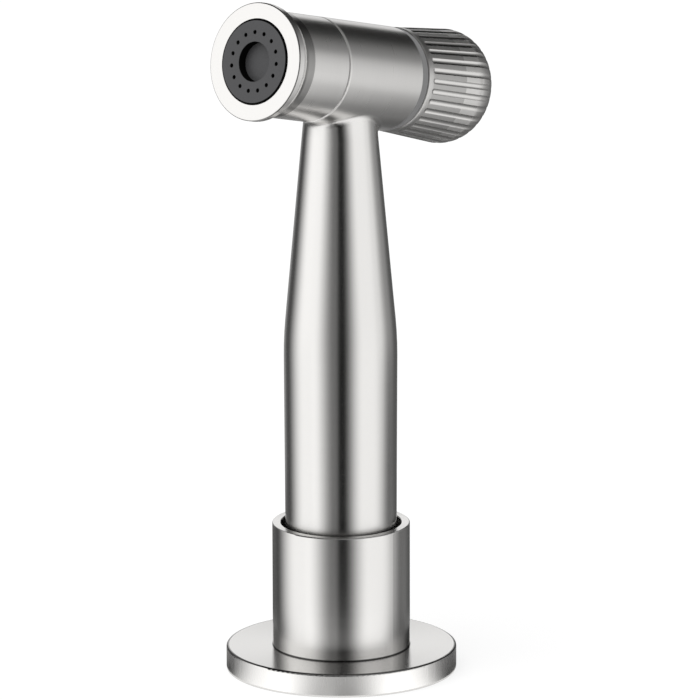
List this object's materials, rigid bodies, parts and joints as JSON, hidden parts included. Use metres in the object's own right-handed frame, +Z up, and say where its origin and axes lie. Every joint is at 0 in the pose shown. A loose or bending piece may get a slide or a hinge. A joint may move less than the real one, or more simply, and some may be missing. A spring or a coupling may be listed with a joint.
{
  "type": "kitchen side sprayer",
  "caption": "Hand spray with a barrel head, ring of jets and fluted valve knob, standing in a round deck holder with a threaded shank.",
  "frame": {"origin": "centre of the flange's underside, on the deck plane", "axes": "+Z up through the holder, -Y the way the spray face looks, +X to the object's left"},
  "size_m": [0.054, 0.076, 0.2132],
  "materials": {
    "brushed_steel": "brushed stainless steel",
    "plain_steel": "machined steel",
    "brass": "turned brass",
    "dark_plastic": "matt",
    "grey_plastic": "satin",
    "rubber": "matt",
    "ceramic": "polished ceramic"
  },
  "bodies": {
    "holder": {"flange": "brushed_steel", "holder_cup": "brushed_steel", "threaded_shank": "plain_steel", "deck_gasket": "rubber", "friction_washer": "rubber", "steel_washer": "plain_steel", "mounting_nut": "brass", "hose_grommet": "grey_plastic"},
    "bush": {"guide_bush": "grey_plastic"},
    "handset": {"handset_body": "brushed_steel", "front_collar": "brushed_steel", "spray_face": "dark_plastic", "face_gasket": "rubber", "diffuser_plate": "grey_plastic", "valve_seat_seal": "rubber", "valve_body": "brass", "fixed_disc": "ceramic", "cartridge_nut": "brass", "knob_ring": "grey_plastic", "inlet_fitting": "brass", "inlet_screen": "plain_steel", "check_valve_housing": "grey_plastic", "check_spring": "plain_steel", "collar_o_ring": "rubber", "cartridge_o_ring": "rubber", "inlet_o_ring": "rubber"},
    "control": {"knob": "brushed_steel", "knob_screw": "plain_steel", "knob_cap": "brushed_steel", "spindle": "brass", "spindle_clip": "plain_steel", "spindle_o_ring": "rubber", "moving_disc": "ceramic"},
    "poppet": {"check_poppet": "grey_plastic", "check_seal": "rubber"}
  },
  "joints": [
    {"name": "handset_swivel", "type": "hinge", "parent": "holder", "child": "bush", "pos_m": [0, 0, 0.0135], "axis": [0, 0, 1], "range_deg": [-180, 180]},
    {"name": "handset_lift", "type": "slide", "parent": "bush", "child": "handset", "axis": [0, 0, 1], "range_m": [0, 0.12]},
    {"name": "knob_turn", "type": "hinge", "parent": "handset", "child": "control", "pos_m": [0, 0, 0.1418], "axis": [0, 0.9744, -0.225], "range_deg": [0, 90]},
    {"name": "check_lift", "type": "slide", "parent": "handset", "child": "poppet", "axis": [0, 0, 1], "range_m": [0, 0.0022], "stiffness_N_per_m": 20, "springref_m": -0.004, "deforming": ["check_spring"]}
  ]
}
